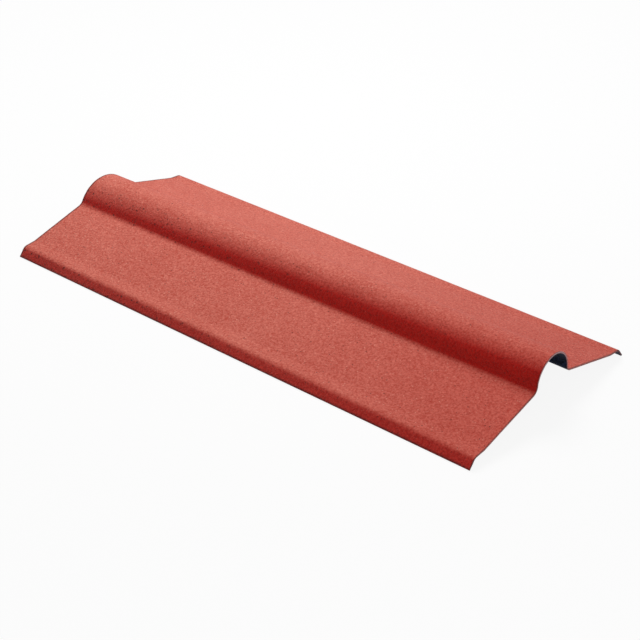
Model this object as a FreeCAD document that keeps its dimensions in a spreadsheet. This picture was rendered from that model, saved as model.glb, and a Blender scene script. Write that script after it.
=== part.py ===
"""Ridge cap for corrugated roofing: one moulded sheet of bitumen-soaked fibre.

The sheet has a round roll along its middle, a sloping wing on each side of the roll and a
lip turned down along each outer edge. The roll is taller and narrower at the near end than
at the far end, so the sheet is a loft between two end sections that share their wings.

Frame: X runs along the ridge towards the near end, Y across it, Z up. The origin is in the
middle of the cap's footprint, at the level of the lips' feet. Lengths are in millimetres.
"""

import FreeCAD, Part
import Sketcher
from FreeCAD import Vector

import os
from math import atan2, cos, pi, radians, sin, sqrt

# Driving dimensions, in millimetres and degrees: name, value, what it measures.
DIMENSIONS = [
    ("cap_length", 1000.0, "length along the ridge"),
    ("cap_width", 420.0, "width over the outer feet of the lips"),
    ("sheet_thickness", 3.0, "thickness of the sheet"),
    ("lip_flat", 15.0, "straight part of the lip, on the outside"),
    ("lip_lean", 38.0, "lean of the lip from upright, in degrees"),
    ("fold_radius", 10.0, "inside radius of the fold between lip and shoulder"),
    ("shoulder_flat", 17.0, "straight part of the shoulder beside the fold, on the outside"),
    ("shoulder_slope", 5.0, "slope of the shoulder, in degrees"),
    ("bend_radius", 15.0, "outside radius of the bend between shoulder and wing"),
    ("wing_slope", 14.7, "slope of the wing, in degrees"),
    ("taper_reach", 100.0, "how far from the ridge line the two ends differ; beyond it the wing is plain"),
    ("near_crest_height", 102.5, "top of the roll above the floor, near end"),
    ("near_crest_radius", 42.5, "outside radius of the roll, near end"),
    ("near_valley_radius", 10.0, "outside radius of the valley beside the roll, near end"),
    ("far_crest_height", 87.0, "top of the roll above the floor, far end"),
    ("far_crest_radius", 63.0, "outside radius of the roll, far end"),
    ("far_valley_radius", 14.0, "outside radius of the valley beside the roll, far end"),
]

# Edges of the half section from the foot to the crest, on either face of the sheet.
EDGES = ["lip", "fold", "shoulder", "bend", "wing", "wing_top", "valley", "crest"]
# A sketch numbers the points of an edge from one, and its two axes downwards from minus one.
START, END, CENTRE = range(1, 4)
H_AXIS, V_AXIS = range(-1, -3, -1)
# An arc runs anticlockwise in a sketch, so the two hollow ones are met end first on the way up.
HOLLOW = ["bend", "valley"]


def make_sheet(doc):
    """Spreadsheet of the driving dimensions, one aliased cell each."""
    sheet = doc.addObject("Spreadsheet::Sheet", "dims")
    for row, (name, value, meaning) in enumerate(DIMENSIONS, start=1):
        sheet.set(f"A{row}", meaning)
        sheet.set(f"B{row}", str(value))
        sheet.setAlias(f"B{row}", name)
    doc.recompute()
    return sheet


def polar(angle):
    """Unit vector at an angle from the section's horizontal axis."""
    return Vector(cos(angle), sin(angle), 0)


def arc(centre, radius, first, last):
    """Anticlockwise arc about a centre between two angles."""
    return Part.ArcOfCircle(Part.Circle(centre, Vector(0, 0, 1), radius), first, last)


def line(first, last, shift):
    """Straight edge between two points, both moved by the same shift."""
    return Part.LineSegment(first + shift, last + shift)


def half_section(sheet, end):
    """Outside and inside edges of the half section at one end, each from foot to crest.

    The inside lies one sheet thickness to the left of the way up, and each inside arc
    shares its centre with the outside one.
    """
    thick = sheet.sheet_thickness
    lip_way = radians(90 + sheet.lip_lean)
    shoulder_way = radians(180 - sheet.shoulder_slope)
    wing_way = radians(180 - sheet.wing_slope)
    crest_radius = sheet.get(end + "_crest_radius")
    valley_radius = sheet.get(end + "_valley_radius")
    lip_left = polar(lip_way + pi / 2)
    shoulder_left = polar(shoulder_way + pi / 2)
    wing_left = polar(wing_way + pi / 2)

    foot = Vector(sheet.cap_width / 2, thick * sin(radians(sheet.lip_lean)), 0)
    lip_top = foot + polar(lip_way) * sheet.lip_flat
    fold_centre = lip_top + lip_left * (sheet.fold_radius + thick)
    shoulder_start = fold_centre - shoulder_left * (sheet.fold_radius + thick)
    shoulder_end = shoulder_start + polar(shoulder_way) * sheet.shoulder_flat
    bend_centre = shoulder_end - shoulder_left * sheet.bend_radius
    wing_start = bend_centre + wing_left * sheet.bend_radius

    # The valley's centre stands off the wing by its radius, and off the crest's centre by both radii.
    crest_centre = Vector(0, sheet.get(end + "_crest_height") - crest_radius, 0)
    offset = wing_start - wing_left * valley_radius - crest_centre
    along = offset.dot(polar(wing_way))
    reach = crest_radius + valley_radius
    wing_length = -along - sqrt(along ** 2 - offset.dot(offset) + reach ** 2)
    wing_flat = (wing_start.x - sheet.taper_reach) / cos(radians(sheet.wing_slope))
    wing_middle = wing_start + polar(wing_way) * wing_flat
    wing_end = wing_start + polar(wing_way) * wing_length
    valley_centre = wing_end - wing_left * valley_radius
    to_valley = valley_centre - crest_centre
    flank = atan2(to_valley.y, to_valley.x)

    def face(depth):
        """Edges of the face that lies this deep under the outside."""
        fold = arc(fold_centre, sheet.fold_radius + thick - depth, lip_way - pi / 2, shoulder_way - pi / 2)
        bend = arc(bend_centre, sheet.bend_radius + depth, wing_way + pi / 2, shoulder_way + pi / 2)
        valley = arc(valley_centre, valley_radius + depth, flank + pi, wing_way + pi / 2)
        crest = arc(crest_centre, crest_radius - depth, flank, pi / 2)
        lip = line(foot, lip_top, lip_left * depth)
        shoulder = line(shoulder_start, shoulder_end, shoulder_left * depth)
        wing = line(wing_start, wing_middle, wing_left * depth)
        wing_top = line(wing_middle, wing_end, wing_left * depth)
        return [lip, fold, shoulder, bend, wing, wing_top, valley, crest]

    return face(0), face(thick)


def make_section(doc, body, sheet, end, place):
    """Sketch of the half section at one end of the cap, driven by the sheet."""
    sketch = body.newObject("Sketcher::SketchObject", end + "_section")
    plane = next(item for item in body.Origin.OriginFeatures if item.Role == "YZ_Plane")
    sketch.AttachmentSupport = [(plane, "")]
    sketch.MapMode = "FlatFace"
    sketch.setExpression(".AttachmentOffset.Base.z", place)

    outside_edges, inside_edges = half_section(sheet, end)
    outside = {name: sketch.addGeometry(edge, False) for name, edge in zip(EDGES, outside_edges)}
    inside = {name: sketch.addGeometry(edge, False) for name, edge in zip(EDGES, inside_edges)}
    foot_line = Part.LineSegment(inside_edges[0].StartPoint, outside_edges[0].StartPoint)
    ridge_line = Part.LineSegment(outside_edges[-1].EndPoint, inside_edges[-1].EndPoint)
    foot = sketch.addGeometry(foot_line, False)
    ridge = sketch.addGeometry(ridge_line, False)

    def rule(*terms):
        sketch.addConstraint(Sketcher.Constraint(*terms))

    def drive(name, expression, *terms):
        index = sketch.addConstraint(Sketcher.Constraint(*terms))
        sketch.renameConstraint(index, name)
        sketch.setExpression("Constraints." + name, expression)

    def lower(name):
        return END if name in HOLLOW else START

    def upper(name):
        return START if name in HOLLOW else END

    for chain in (outside, inside):
        for below, above in zip(EDGES, EDGES[1:]):
            rule("Tangent", chain[below], upper(below), chain[above], lower(above))
    for name in ("fold", "bend", "valley", "crest"):
        rule("Coincident", outside[name], CENTRE, inside[name], CENTRE)
    rule("Coincident", foot, START, inside["lip"], START)
    rule("Coincident", foot, END, outside["lip"], START)
    rule("Perpendicular", foot, outside["lip"])
    rule("Equal", inside["wing"], outside["wing"])
    rule("Coincident", ridge, START, outside["crest"], END)
    rule("Coincident", ridge, END, inside["crest"], END)
    rule("PointOnObject", outside["crest"], CENTRE, V_AXIS)
    rule("PointOnObject", outside["crest"], END, V_AXIS)
    rule("PointOnObject", inside["crest"], END, V_AXIS)
    rule("PointOnObject", inside["lip"], START, H_AXIS)

    thick = "dims.sheet_thickness"
    crest_radius = f"dims.{end}_crest_radius"
    valley_radius = f"dims.{end}_valley_radius"
    radii = {
        "fold": ("dims.fold_radius + " + thick, "dims.fold_radius"),
        "bend": ("dims.bend_radius", "dims.bend_radius + " + thick),
        "valley": (valley_radius, valley_radius + " + " + thick),
    }
    for name, (outer, inner) in radii.items():
        outer_start = outside_edges[EDGES.index(name)].Radius
        inner_start = inside_edges[EDGES.index(name)].Radius
        drive(name + "_outside", outer, "Radius", outside[name], outer_start)
        drive(name + "_inside", inner, "Radius", inside[name], inner_start)
    # The crest's inside radius follows, because that arc shares its centre and touches the valley's.
    drive("crest_outside", crest_radius, "Radius", outside["crest"], outside_edges[-1].Radius)
    drive("foot_width", thick, "Distance", foot, sheet.sheet_thickness)

    ways = {
        "lip": ("90 + dims.lip_lean", 90 + sheet.lip_lean),
        "shoulder": ("180 - dims.shoulder_slope", 180 - sheet.shoulder_slope),
        "wing": ("180 - dims.wing_slope", 180 - sheet.wing_slope),
    }
    for name, (expression, degrees) in ways.items():
        drive(name + "_way", expression, "Angle", outside[name], radians(degrees))
    drive("lip_length", "dims.lip_flat", "Distance", outside["lip"], sheet.lip_flat)
    drive("shoulder_length", "dims.shoulder_flat", "Distance", outside["shoulder"], sheet.shoulder_flat)
    from_origin = (H_AXIS, START)
    half_width = sheet.cap_width / 2
    height = sheet.get(end + "_crest_height")
    drive("half_width", "dims.cap_width / 2", "DistanceX", *from_origin, outside["lip"], START, half_width)
    drive("reach", "dims.taper_reach", "DistanceX", *from_origin, outside["wing"], END, sheet.taper_reach)
    drive("height", f"dims.{end}_crest_height", "DistanceY", *from_origin, outside["crest"], END, height)
    doc.recompute()
    if not sketch.FullyConstrained:
        raise RuntimeError(sketch.Name + " is not fully constrained")
    return sketch


def make_cap(doc, sheet):
    """The cap: half of it lofted from end to end, then mirrored across the ridge line."""
    body = doc.addObject("PartDesign::Body", "ridge_cap")
    body.Label = "ridge_cap"
    near = make_section(doc, body, sheet, "near", "dims.cap_length / 2")
    far = make_section(doc, body, sheet, "far", "-dims.cap_length / 2")

    half = body.newObject("PartDesign::AdditiveLoft", "half_sheet")
    half.Profile = near
    half.Sections = [far]
    half.Ruled = True
    doc.recompute()

    whole = body.newObject("PartDesign::Mirrored", "whole_sheet")
    plane = next(item for item in body.Origin.OriginFeatures if item.Role == "XZ_Plane")
    whole.Originals = [half]
    whole.MirrorPlane = (plane, [""])
    body.Tip = whole
    doc.recompute()
    return body


def check(doc):
    """Stop on any object that did not compute or has no sound shape."""
    for item in doc.Objects:
        if "Invalid" in item.State or "Error" in item.State:
            raise RuntimeError(f"{item.Name} did not compute: {item.State}")
        if item.isDerivedFrom("PartDesign::Feature") or item.isDerivedFrom("PartDesign::Body"):
            if item.Shape.isNull() or not item.Shape.isValid():
                raise RuntimeError(item.Name + " has no valid shape")


document = FreeCAD.newDocument("ridge_cap")
dims = make_sheet(document)
cap = make_cap(document, dims)
check(document)
if len(cap.Shape.Solids) != 1:
    raise RuntimeError("the cap is not one solid")
os.makedirs("parts", exist_ok=True)
cap.Shape.exportStep("parts/" + cap.Label + ".step")
print(cap.Label, cap.Shape.BoundBox, "volume", round(cap.Shape.Volume), "mm3")
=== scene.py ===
# %% [markdown]
# A roof ridge cap, dressed in Blender
#
# The real cap is one sheet of fibre, moulded into shape and soaked in bitumen: a round roll along the
# ridge, a flat wing on each side, and a lip along each outer edge. The upper face has a rough red coat
# and the underside stays black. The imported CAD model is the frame. It gives the size and the place, and
# this script adds the skin, the cut edges, the finish, the light and the camera.

# %% Load the frame
from math import atan2, copysign, cos, pi, radians, sin, sqrt

import bmesh
import bpy
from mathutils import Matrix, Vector, noise


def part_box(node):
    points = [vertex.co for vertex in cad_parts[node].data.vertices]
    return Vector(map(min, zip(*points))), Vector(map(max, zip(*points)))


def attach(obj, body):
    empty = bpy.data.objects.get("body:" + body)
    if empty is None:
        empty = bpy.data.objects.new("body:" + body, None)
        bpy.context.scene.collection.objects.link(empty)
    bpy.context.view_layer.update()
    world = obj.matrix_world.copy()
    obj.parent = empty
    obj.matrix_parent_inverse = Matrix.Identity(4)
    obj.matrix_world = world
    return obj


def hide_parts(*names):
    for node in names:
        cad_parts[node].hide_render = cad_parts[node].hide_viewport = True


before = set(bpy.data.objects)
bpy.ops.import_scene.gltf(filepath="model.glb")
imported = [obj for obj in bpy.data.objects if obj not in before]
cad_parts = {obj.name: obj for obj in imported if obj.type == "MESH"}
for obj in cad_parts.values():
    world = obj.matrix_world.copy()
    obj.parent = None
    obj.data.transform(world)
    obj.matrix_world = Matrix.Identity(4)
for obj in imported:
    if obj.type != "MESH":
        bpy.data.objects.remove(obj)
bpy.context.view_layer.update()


def rounded(values):
    """Numbers short enough to print."""
    return [round(value, 4) for value in values]


low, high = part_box("ridge_cap")

# %% [markdown]
# The section of the sheet
#
# A moulded sheet is best known by its section, which is a chain of straight runs and round bends. It
# could be traced as a list of points, but a few lengths, slopes and radii say more and are easier to
# change. The length, width and height come from the frame, and the rest are the sheet's own sizes in
# metres. The roll is narrow and tall at the near end and wide and low at the far end, so that the caps
# can lap.

# %% Sizes of the section
LENGTH = high.x - low.x
HALF_WIDTH = high.y
SHEET = 0.003
LIP_FLAT = 0.015
LIP_LEAN = radians(38)
FOLD_RADIUS = 0.010
SHOULDER_FLAT = 0.017
SHOULDER_SLOPE = radians(5)
BEND_RADIUS = 0.015
WING_SLOPE = radians(14.7)
NEAR_ROLL = {"x": high.x, "height": high.z, "crest": 0.0425, "valley": 0.010}
FAR_ROLL = {"x": low.x, "height": 0.087, "crest": 0.063, "valley": 0.014}

lip_way = pi / 2 + LIP_LEAN
shoulder_way = pi - SHOULDER_SLOPE
wing_way = pi - WING_SLOPE
print("sheet", SHEET, "m thick,", round(LENGTH, 4), "m long,", round(2 * HALF_WIDTH, 4), "m wide")

# %% [markdown]
# A pen that draws with operators
#
# One vertex can draw a whole section, as a pen does: extrude moves it along a straight run, and spin
# takes it round a bend. A way is the angle that the pen heads in, from +Y towards +Z. This keeps every
# bend a true arc that meets its runs without a corner, with no list of points to work out by hand.

# %% The pen's two strokes
def towards(way):
    """The direction of a way in the plane of the section."""
    return Vector((0, cos(way), sin(way)))


def draw_run(bm, tip, way, length, steps):
    """Extrude the pen's tip along a straight run."""
    for step in range(steps):
        tip = bmesh.ops.extrude_vert_indiv(bm, verts=[tip])["verts"][0]
        bmesh.ops.translate(bm, verts=[tip], vec=towards(way) * length / steps)
    return tip


def draw_bend(bm, tip, way, new_way, radius, steps):
    """Spin the pen's tip round a bend, to the side that it turns to."""
    turn = new_way - way
    centre = tip.co + towards(way + copysign(pi / 2, turn)) * radius
    spun = bmesh.ops.spin(bm, geom=[tip], cent=centre, axis=(1, 0, 0), angle=turn, steps=steps)
    return spun["geom_last"][0]


print("on the wing the pen heads along", rounded(towards(wing_way)))

# %% [markdown]
# From the wing up into the roll
#
# The wing runs up to a hollow bend, the valley, which turns into the crest with no straight between
# them. The join could be found by trying, but two arcs touch where their centres are as far apart as
# the two radii together. That gives the wing's length, and the way that the pen has where it passes
# from one arc to the other.

# %% Where the wing ends
def find_valley(wing_start, roll):
    """The wing's length and the way at which the valley meets the crest."""
    crest_centre = Vector((roll["x"], 0, roll["height"] - roll["crest"]))
    offset = wing_start + towards(wing_way - pi / 2) * roll["valley"] - crest_centre
    along = offset.dot(towards(wing_way))
    reach = roll["crest"] + roll["valley"]
    wing_length = -along - sqrt(along ** 2 - offset.length_squared + reach ** 2)
    valley_centre = offset + towards(wing_way) * wing_length
    return wing_length, atan2(valley_centre.z, valley_centre.y) + pi / 2


# %% Draw half a section at each end
def draw_half_section(bm, roll):
    """Draw the upper face from the foot of the lip to the top of the roll."""
    tip = bm.verts.new((roll["x"], HALF_WIDTH, low.z + SHEET * sin(LIP_LEAN)))
    tip = draw_run(bm, tip, lip_way, LIP_FLAT, steps=4)
    tip = draw_bend(bm, tip, lip_way, shoulder_way, FOLD_RADIUS + SHEET, steps=6)
    tip = draw_run(bm, tip, shoulder_way, SHOULDER_FLAT, steps=4)
    tip = draw_bend(bm, tip, shoulder_way, wing_way, BEND_RADIUS, steps=2)
    wing_length, flank_way = find_valley(tip.co, roll)
    tip = draw_run(bm, tip, wing_way, wing_length, steps=26)
    tip = draw_bend(bm, tip, wing_way, flank_way, roll["valley"], steps=7)
    return draw_bend(bm, tip, flank_way, pi, roll["crest"], steps=17)


skin = bmesh.new()
for roll in (NEAR_ROLL, FAR_ROLL):
    top = draw_half_section(skin, roll)
    print("top of the roll at", rounded(top.co))

# %% [markdown]
# One skin from end to end
#
# The two end sections have the same number of edges, so bridge_loops joins them into long strips, and
# the taper of the roll follows by itself. The strips are then cut into short quads, because the skin
# needs points for its unevenness. The other half could be drawn too, but a mirror image joined along
# the top of the roll is sure to match.

# %% Bridge and cut the skin
CUTS_ALONG = 239
bmesh.ops.bridge_loops(skin, edges=skin.edges[:])
long_edges = [edge for edge in skin.edges if edge.calc_length() > LENGTH / 2]
bmesh.ops.subdivide_edges(skin, edges=long_edges, cuts=CUTS_ALONG, use_grid_fill=True)
print("half a skin of", len(skin.faces), "quads")

# %% Mirror the skin
JOIN_REACH = 1e-5
half_skin = skin.verts[:] + skin.edges[:] + skin.faces[:]
bmesh.ops.mirror(skin, geom=half_skin, axis="Y", merge_dist=JOIN_REACH)
bmesh.ops.recalc_face_normals(skin, faces=skin.faces[:])
top_face = max(skin.faces, key=lambda face: face.calc_center_median().z)
if top_face.normal.z < 0:
    bmesh.ops.reverse_faces(skin, faces=skin.faces[:])
print("whole skin of", len(skin.faces), "quads")

# %% [markdown]
# The unevenness of moulded fibre
#
# A moulded fibre sheet is never quite true: it has slow waves, felt-like lumps and ends that the saw
# left a little rough. Bump in the material could show this, but the outline and the exported mesh would
# stay smooth. So the points themselves move, by a few tenths of a millimetre and always into the sheet,
# which keeps the piece inside the CAD box. Waves and lumps die out at the foot, which stands on the
# floor.

# %% Press the skin
SLOW_WAVES = {"size": 0.11, "depth": 0.0005}
FELT_LUMPS = {"size": 0.017, "depth": 0.0002}
SAW_MARKS = {"size": 0.006, "depth": 0.0004}
SAW_REACH = 0.001
FOOT_FADE = 0.02


def hollow(spot, kind):
    """How deep the sheet is pressed in at a spot, from none to the kind's whole depth."""
    return kind["depth"] * (0.5 + 0.5 * max(-1, min(1, noise.noise(spot / kind["size"]))))


skin.normal_update()
for vert in skin.verts:
    spot = vert.co.copy()
    fade = max(0, min(1, (spot.z - low.z - SHEET) / FOOT_FADE))
    depth = hollow(spot, SLOW_WAVES) + hollow(spot, FELT_LUMPS)
    vert.co -= vert.normal * depth * fade
    if abs(vert.co.x) > LENGTH / 2 - SAW_REACH:
        vert.co.x -= copysign(hollow(spot, SAW_MARKS), vert.co.x)
print("waves and lumps up to", round(SLOW_WAVES["depth"] + FELT_LUMPS["depth"], 4), "m deep")

# %% Make the piece
for face in skin.faces:
    face.smooth = True
mesh = bpy.data.meshes.new("ridge_cap_skin")
skin.to_mesh(mesh)
skin.free()
sheet = bpy.data.objects.new("ridge_cap_sheet", mesh)
bpy.context.scene.collection.objects.link(sheet)
print(sheet.name, "has", len(mesh.vertices), "points")

# %% [markdown]
# Thickness and edges
#
# The underside could be drawn as a second skin, but Solidify keeps the thickness the same all over and
# lets each side have its own finish: the coat above, bare bitumen below, and torn fibre at the cut
# edges. Bevel then breaks the sharp corners of those edges by half a millimetre, as handling does.

# %% Thicken the sheet and break its edges
EDGE_BREAK = 0.0005
SHARP_CORNER = radians(60)
thickness = sheet.modifiers.new("sheet thickness", "SOLIDIFY")
thickness.thickness = SHEET
thickness.offset = -1
thickness.use_even_offset = True
thickness.material_offset = 1
thickness.material_offset_rim = 2
broken_edges = sheet.modifiers.new("broken edges", "BEVEL")
broken_edges.width = EDGE_BREAK
broken_edges.segments = 2
broken_edges.profile = 0.5
broken_edges.limit_method = "ANGLE"
broken_edges.angle_limit = SHARP_CORNER
broken_edges.material = -1
broken_edges.harden_normals = True
print("modifiers:", [modifier.name for modifier in sheet.modifiers])

# %% [markdown]
# How a finish starts
#
# A finish could be a painted picture wrapped round the sheet, but that needs an image and a flat map of
# the sheet. Here each finish is a Principled shader fed by Blender's own textures on Object
# coordinates, which are metres in the frame. So a texture's scale is the number of grains in a metre,
# and the pattern stays in place from any side.

# %% Start a finish
def start_finish(name):
    """A new material, its nodes, its shader and its Object coordinates."""
    material = bpy.data.materials.new(name)
    material.use_nodes = True
    tree = material.node_tree
    place = tree.nodes.new("ShaderNodeTexCoord").outputs["Object"]
    return material, tree, tree.nodes["Principled BSDF"], place


# %% [markdown]
# The grain of the red coat
#
# The coat is a matt mineral red. Seen close, it is a grain of paler and deeper specks, one to four
# millimetres across, over a faint mottle as wide as a hand. One noise texture could stand for all of
# it, but that looks like cloud. So pebbles, grain and specks each have their own size and are blended
# into one relief, which gives both the tones of the colour and the bumps.

# %% Clouds and cells
def add_noise(tree, place, scale, detail, roughness):
    """A cloudy texture with so many grains in a metre."""
    node = tree.nodes.new("ShaderNodeTexNoise")
    tree.links.new(place, node.inputs["Vector"])
    node.inputs["Scale"].default_value = scale
    node.inputs["Detail"].default_value = detail
    node.inputs["Roughness"].default_value = roughness
    return node.outputs["Fac"]


def add_cells(tree, place, scale):
    """Cells, so many in a metre: how far a point is from its cell's middle, and the cell's own tone."""
    node = tree.nodes.new("ShaderNodeTexVoronoi")
    tree.links.new(place, node.inputs["Vector"])
    node.inputs["Scale"].default_value = scale
    return node.outputs["Distance"], node.outputs["Color"]


# %% Ranges and blends
def add_range(tree, value, start, end, to_start=0, to_end=1):
    """Stretch the values from start to end to another range, and hold it at the ends."""
    node = tree.nodes.new("ShaderNodeMapRange")
    tree.links.new(value, node.inputs["Value"])
    for name, number in zip(("From Min", "From Max", "To Min", "To Max"), (start, end, to_start, to_end)):
        node.inputs[name].default_value = number
    return node.outputs["Result"]


def add_blend(tree, first, second, share):
    """Blend two values, with this share of the second."""
    node = tree.nodes.new("ShaderNodeMix")
    node.inputs["Factor"].default_value = share
    tree.links.new(first, node.inputs["A"])
    tree.links.new(second, node.inputs["B"])
    return node.outputs["Result"]


# %% Mottle and grain of the coat
coat, tree, shader, place = start_finish("red_coat")
mottle = add_range(tree, add_noise(tree, place, scale=11, detail=4, roughness=0.6), 0.3, 0.7)
pebbles = add_range(tree, add_noise(tree, place, scale=260, detail=2, roughness=0.6), 0.38, 0.62)
grain = add_range(tree, add_noise(tree, place, scale=700, detail=3, roughness=0.65), 0.34, 0.66)
specks = add_range(tree, add_cells(tree, place, scale=430)[1], 0.3, 0.7)
relief = add_blend(tree, add_blend(tree, pebbles, grain, share=0.3), specks, share=0.35)
tone = add_blend(tree, relief, mottle, share=0.15)
print("grain of the coat from", len(tree.nodes), "nodes")

# %% [markdown]
# Painted light and painted shade
#
# The faces that look up are painted paler, as painted light, and the steep faces are painted deep red,
# as painted shade. This could be painted on by hand, but a face's normal already says how much light it
# is painted with: its Z is 1 on a level face and 0 on an upright one. The painted light fades towards
# the near end, as painted falloff of the light, and a few pale grains in it are painted glints.

# %% Axes, sums and colours
# Where a Mix node has its sockets for colours, among those for other kinds of data.
COLOUR_INPUTS = 6, 7
COLOUR_OUTPUT = 2


def add_axes(tree, vector):
    """The X, Y and Z of a place or a direction."""
    node = tree.nodes.new("ShaderNodeSeparateXYZ")
    tree.links.new(vector, node.inputs["Vector"])
    return node.outputs["X"], node.outputs["Y"], node.outputs["Z"]


def add_math(tree, kind, first, second):
    """Join two values by the kind of sum that is named. The second may be a plain number."""
    node = tree.nodes.new("ShaderNodeMath")
    node.operation = kind
    tree.links.new(first, node.inputs[0])
    if isinstance(second, (int, float)):
        node.inputs[1].default_value = second
    else:
        tree.links.new(second, node.inputs[1])
    return node.outputs["Value"]


def add_mix(tree, factor, first, second):
    """Mix two colours, each a colour or the output of a node."""
    node = tree.nodes.new("ShaderNodeMix")
    node.data_type = "RGBA"
    tree.links.new(factor, node.inputs["Factor"])
    for number, colour in zip(COLOUR_INPUTS, (first, second)):
        if isinstance(colour, tuple):
            node.inputs[number].default_value = (*colour, 1)
        else:
            tree.links.new(colour, node.inputs[number])
    return node.outputs[COLOUR_OUTPUT]


# %% Round spots
SPOT_FADE = 3
RARITY_FADE = 0.2


def add_spots(tree, place, scale, size, rarity):
    """Round spots at the middles of the cells whose own tone is above a rarity."""
    from_middle, own_tone = add_cells(tree, place, scale)
    spot = add_range(tree, from_middle, size, SPOT_FADE * size, to_start=1, to_end=0)
    chosen = add_range(tree, own_tone, rarity, rarity + RARITY_FADE)
    return add_math(tree, "MULTIPLY", spot, chosen)


# %% Painted light on the faces that look up, painted shade on the steep ones
# Deep reds are painted shade for the steep faces, pale reds are painted light for the faces that look up.
PAINTED_SHADE_REDS = (0.40, 0.003, 0.002), (0.66, 0.018, 0.011)
PAINTED_LIGHT_REDS = (0.52, 0.06, 0.036), (0.84, 0.243, 0.18)
PAINTED_GLINT_GRAIN = (0.92, 0.38, 0.29)
# The Z of a face's normal where the painted light starts, and its share at the near end, where it fades.
PAINTED_LIGHT_STARTS = 0.56
NEAR_PAINTED_LIGHT = 0.66
along, _, above = add_axes(tree, place)
facing_up = add_axes(tree, place.node.outputs["Normal"])[2]
# Painted falloff of the light: the painted light fades towards the near end.
painted_light_falloff = add_range(tree, along, 0, LENGTH / 2, to_start=1, to_end=NEAR_PAINTED_LIGHT)
painted_light_share = add_math(tree, "MULTIPLY", add_range(tree, facing_up, PAINTED_LIGHT_STARTS, 1), painted_light_falloff)
painted_shade_red = add_mix(tree, tone, *PAINTED_SHADE_REDS)
painted_light_red = add_mix(tree, tone, *PAINTED_LIGHT_REDS)
# Pale grains of the coat, painted as glints that catch the light, only where the light is painted.
painted_glint_grain = add_spots(tree, place, scale=170, size=0.08, rarity=0.5)
painted_light_red = add_mix(tree, painted_glint_grain, painted_light_red, PAINTED_GLINT_GRAIN)
# Painted light on the faces that look up, painted shade on the steep ones.
colour = add_mix(tree, painted_light_share, painted_shade_red, painted_light_red)
print("with the bloom,", len(tree.nodes), "nodes")

# %% [markdown]
# Pits, wear and darker feet
#
# Dark bitumen shows through small pits in the coat. There are more of them on the steeper faces, where
# the coat is thin, and fewer towards the near end. The coat is also worn dark along the cut ends, and it
# is darker along the feet. Pits could be modelled as dents, but they are finer than the mesh, so they are
# spots in the colour and in the bumps.

# %% Pits where the bitumen shows
PIT_COLOUR = (0.11, 0.010, 0.008)
# The Z of the normal where the coat starts to thin and where it is thin, and the near end's share.
FULL_COAT = 0.96
THIN_COAT = 0.84
NEAR_PITS = 0.3
far_share = add_range(tree, along, -LENGTH / 5, LENGTH / 5, to_start=1, to_end=NEAR_PITS)
thin_coat = add_math(tree, "MULTIPLY", add_range(tree, facing_up, FULL_COAT, THIN_COAT), far_share)
slope_pit = add_spots(tree, place, scale=150, size=0.12, rarity=0.5)
slope_pit = add_math(tree, "MULTIPLY", slope_pit, thin_coat)
small_pit = add_spots(tree, place, scale=120, size=0.055, rarity=0.5)
pit = add_math(tree, "MAXIMUM", small_pit, slope_pit)
colour = add_mix(tree, pit, colour, PIT_COLOUR)
print("with the pits,", len(tree.nodes), "nodes")

# %% Wear along the cut ends, and darker feet
DARK_EDGE_COLOUR = (0.1, 0.012, 0.012)
# Each pair is how far from the edge the darkening starts, and where it is full.
FAR_WEAR = 0.005, 0.002
NEAR_WEAR = 0.002, 0.0005
FOOT_DARKENING = SHEET * 1.8, SHEET
far_wear = add_range(tree, along, *[low.x + reach for reach in FAR_WEAR])
near_wear = add_range(tree, along, *[high.x - reach for reach in NEAR_WEAR])
# The coat is darker along the feet.
foot_darkening = add_range(tree, above, *[low.z + reach for reach in FOOT_DARKENING])
wear_and_dark_feet = add_math(tree, "MAXIMUM", add_math(tree, "MAXIMUM", far_wear, near_wear), foot_darkening)
wear_and_dark_feet = add_math(tree, "MULTIPLY", wear_and_dark_feet, add_range(tree, grain, 0, 0.6))
colour = add_mix(tree, wear_and_dark_feet, colour, DARK_EDGE_COLOUR)
print("with the wear,", len(tree.nodes), "nodes")

# %% The coat's shader
COAT_RELIEF = 0.0009
PIT_DEPTH = 0.4


def add_bump(tree, height, distance):
    """Turn a height into bumps of so many metres."""
    node = tree.nodes.new("ShaderNodeBump")
    tree.links.new(height, node.inputs["Height"])
    node.inputs["Distance"].default_value = distance
    return node.outputs["Normal"]


roughness = add_range(tree, grain, 0, 1, to_start=0.78, to_end=0.6)
height = add_math(tree, "SUBTRACT", relief, add_math(tree, "MULTIPLY", pit, PIT_DEPTH))
tree.links.new(colour, shader.inputs["Base Color"])
tree.links.new(roughness, shader.inputs["Roughness"])
tree.links.new(add_bump(tree, height, COAT_RELIEF), shader.inputs["Normal"])
shader.inputs["Specular IOR Level"].default_value = 0.04
shader.inputs["Sheen Weight"].default_value = 0.25
shader.inputs["Sheen Roughness"].default_value = 0.5
shader.inputs["Sheen Tint"].default_value = (1, 0.94, 0.84, 1)
print("red coat with", len(tree.nodes), "nodes")

# %% [markdown]
# The bare underside
#
# Below, the sheet is plain bitumen-soaked fibre, nearly black with a faint blue, and its surface is
# like felt. It could share the coat's nodes with other colours, but it is smoother and has no bloom,
# so it has its own short set: a felt for the tone and the bumps, and wide smears in the tone.

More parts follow.
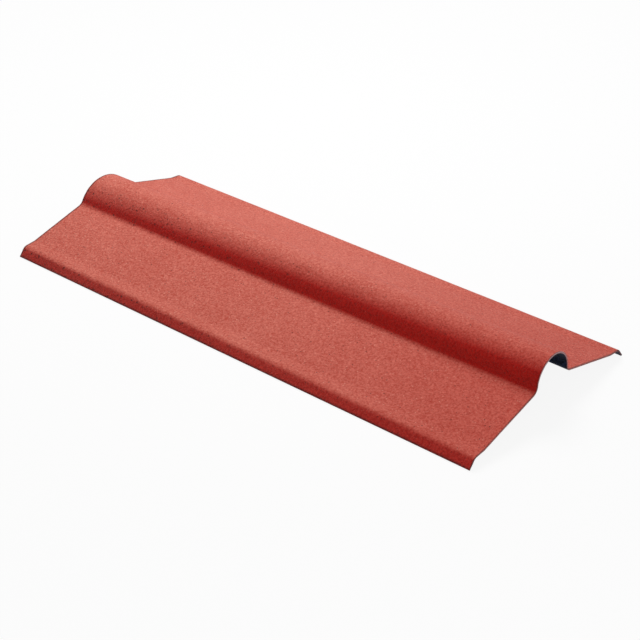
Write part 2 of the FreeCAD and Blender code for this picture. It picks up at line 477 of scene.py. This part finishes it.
# %% Bitumen underside
BITUMEN_BLACKS = (0.001, 0.002, 0.008), (0.036, 0.05, 0.105)
FELT_RELIEF = 0.0006
back, tree, shader, place = start_finish("bitumen_back")
felt = add_noise(tree, place, scale=210, detail=2, roughness=0.5)
smears = add_noise(tree, place, scale=14, detail=3, roughness=0.5)
tone = add_blend(tree, add_range(tree, smears, 0.35, 0.65), add_range(tree, felt, 0.42, 0.62), share=0.75)
roughness = add_range(tree, felt, 0.25, 0.75, to_start=0.42, to_end=0.62)
tree.links.new(add_mix(tree, tone, *BITUMEN_BLACKS), shader.inputs["Base Color"])
tree.links.new(roughness, shader.inputs["Roughness"])
tree.links.new(add_bump(tree, felt, FELT_RELIEF), shader.inputs["Normal"])
shader.inputs["Specular IOR Level"].default_value = 0.03
print("underside with", len(tree.nodes), "nodes")

# %% [markdown]
# The cut edges
#
# The saw leaves an edge of torn fibres. It is pale grey-purple round the top of the roll, red-brown
# along the wings, and dark at the feet. Each could be a material of its own, but they run into each
# other, so one material changes its colours with the height above the floor.

# %% Torn fibre at the cut edges
WING_FIBRE = (0.38, 0.09, 0.08), (0.8, 0.34, 0.32)
ROLL_FIBRE = (0.5, 0.24, 0.26), (0.9, 0.58, 0.6)
FOOT_FIBRE = (0.05, 0.02, 0.02), (0.3, 0.12, 0.12)
# Each pair is the height where the change of colour starts, and where it is full.
ROLL_HEIGHTS = 0.07, 0.095
FOOT_HEIGHTS = 0.022, 0.012
FIBRE_RELIEF = 0.0005
cut_edge, tree, shader, place = start_finish("cut_edge")
fibre = add_noise(tree, place, scale=1100, detail=3, roughness=0.7)
tone = add_range(tree, fibre, 0.3, 0.7)
above = add_axes(tree, place)[2]
wing_edge = add_mix(tree, tone, *WING_FIBRE)
roll_edge = add_mix(tree, tone, *ROLL_FIBRE)
foot_edge = add_mix(tree, tone, *FOOT_FIBRE)
colour = add_mix(tree, add_range(tree, above, *ROLL_HEIGHTS), wing_edge, roll_edge)
# The edge is darker towards the feet.
colour = add_mix(tree, add_range(tree, above, *FOOT_HEIGHTS), colour, foot_edge)
tree.links.new(colour, shader.inputs["Base Color"])
tree.links.new(add_bump(tree, fibre, FIBRE_RELIEF), shader.inputs["Normal"])
shader.inputs["Roughness"].default_value = 0.85
print("cut edge with", len(tree.nodes), "nodes")

# %% [markdown]
# The sheet in the frame
#
# The finishes go onto the sheet in the order that Solidify counts them: above, below, edges. The CAD
# node stays behind, hidden, for collision, and the sheet rides on the root body.

# %% Put the sheet in the place of the CAD node
for material in (coat, back, cut_edge):
    mesh.materials.append(material)
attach(sheet, "root")
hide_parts("ridge_cap")
print("finishes on the sheet:", [material.name for material in mesh.materials])

# %% [markdown]
# Floor and background
#
# The photograph has a white background with no horizon. Brighter lamps could whiten the floor, but they
# would bleach the cap too. So a wide floor takes the faint shadow, and to the camera most of its colour
# is a plain white glow, all of it further out. Light that bounces off the floor onto the cap sees a
# plain grey one.

# %% Lay the floor
FLOOR_REACH = 30
floor_bm = bmesh.new()
bmesh.ops.create_grid(floor_bm, x_segments=1, y_segments=1, size=FLOOR_REACH)
floor_mesh = bpy.data.meshes.new("studio_floor")
floor_bm.to_mesh(floor_mesh)
floor_bm.free()
floor = bpy.data.objects.new("studio_floor", floor_mesh)
bpy.context.scene.collection.objects.link(floor)
print("floor of", round(floor.dimensions.x), "m")

# %% Paint the floor
BOUNCE_GREY = (0.45, 0.45, 0.45)
SEEN_WHITE = (0.9, 0.9, 0.9)


def seen_straight(tree):
    """One where a ray comes straight from the camera or by gloss or glass, else nought."""
    path = tree.nodes.new("ShaderNodeLightPath")
    mirrored = add_math(tree, "MAXIMUM", path.outputs["Is Glossy Ray"], path.outputs["Is Transmission Ray"])
    return add_math(tree, "MAXIMUM", path.outputs["Is Camera Ray"], mirrored)


floor_paint, tree, shader, place = start_finish("studio_floor")
paint = add_mix(tree, seen_straight(tree), BOUNCE_GREY, SEEN_WHITE)
tree.links.new(paint, shader.inputs["Base Color"])
shader.inputs["Roughness"].default_value = 1
shader.inputs["Specular IOR Level"].default_value = 0
floor_mesh.materials.append(floor_paint)
print("floor paint:", floor_paint.name)

# %% Let the floor glow white
NEAR_GLOW = 0.9
# How far from the middle of the cap the glow starts to rise, and where it is full.
GLOW_RISE = 0.6, 3
glow = tree.nodes.new("ShaderNodeEmission")
from_middle = tree.nodes.new("ShaderNodeVectorMath")
from_middle.operation = "LENGTH"
tree.links.new(place, from_middle.inputs[0])
share = add_range(tree, from_middle.outputs["Value"], *GLOW_RISE, to_start=NEAR_GLOW, to_end=1)
blend = tree.nodes.new("ShaderNodeMixShader")
tree.links.new(add_math(tree, "MULTIPLY", seen_straight(tree), share), blend.inputs["Fac"])
tree.links.new(shader.outputs["BSDF"], blend.inputs[1])
tree.links.new(glow.outputs["Emission"], blend.inputs[2])
tree.links.new(blend.outputs["Shader"], tree.nodes["Material Output"].inputs["Surface"])
print("white glow of", NEAR_GLOW, "beside the cap and 1 from", GLOW_RISE[1], "m out")

# %% [markdown]
# Light
#
# In the photograph the faces that look up are bright and the front of the roll is deep red, so the
# main light is a large soft lamp above the cap, a little behind it and to the left. A weak lamp at the
# near right opens up the lip and the front of the roll. A picture of a room could light the cap, but
# two lamps and an even world are easier to judge. To the camera the world is white, like the floor.

# %% Hang the lamps
LAMP_AIM = (0, 0, 0.05)


def hang_lamp(name, spot, aim, size, power):
    """A soft round lamp at a spot that shines at another."""
    lamp = bpy.data.lights.new(name, "AREA")
    lamp.shape = "DISK"
    lamp.size = size
    lamp.energy = power
    holder = bpy.data.objects.new(name, lamp)
    holder.location = spot
    holder.rotation_euler = (Vector(aim) - Vector(spot)).to_track_quat("-Z", "Y").to_euler()
    bpy.context.scene.collection.objects.link(holder)
    print(name, "of", power, "W at", spot)


hang_lamp("top_lamp", spot=(-0.65, 0.75, 1.9), aim=LAMP_AIM, size=1.4, power=36)
hang_lamp("side_lamp", spot=(1.5, -1.3, 1.3), aim=LAMP_AIM, size=1.2, power=7)

# %% Fill the world with even light
WORLD_LIGHT = 0.25
world = bpy.data.worlds.new("studio_world")
bpy.context.scene.world = world
world.use_nodes = True
tree = world.node_tree
strength = add_range(tree, seen_straight(tree), 0, 1, to_start=WORLD_LIGHT, to_end=1)
tree.links.new(strength, tree.nodes["Background"].inputs["Strength"])
tree.nodes["Background"].inputs["Color"].default_value = (1, 1, 1, 1)
bpy.context.scene.view_settings.view_transform = "Standard"
print("even light of", WORLD_LIGHT)

# %% [markdown]
# Camera
#
# A camera could be placed by eye, but the picture's angle was found by fitting the corners and edges of
# the cap in the photograph. The camera looks from the front right, about 31 degrees above the floor,
# through a long lens.

# %% Set up the camera
AZIMUTH = radians(40.71)
ELEVATION = radians(30.69)
DISTANCE = 2.7318
AIM = Vector((0.0286, 0.0060, -0.0237))
LENS = 89.70
SENSOR = 36
to_camera = Vector((sin(AZIMUTH) * cos(ELEVATION), -cos(AZIMUTH) * cos(ELEVATION), sin(ELEVATION)))
camera = bpy.data.objects.new("photo_camera", bpy.data.cameras.new("photo_camera"))
camera.data.sensor_width = SENSOR
camera.data.lens = LENS
camera.location = AIM + to_camera * DISTANCE
camera.rotation_euler = (-to_camera).to_track_quat("-Z", "Y").to_euler()
bpy.context.scene.collection.objects.link(camera)
bpy.context.scene.camera = camera
print("camera at", rounded(camera.location))
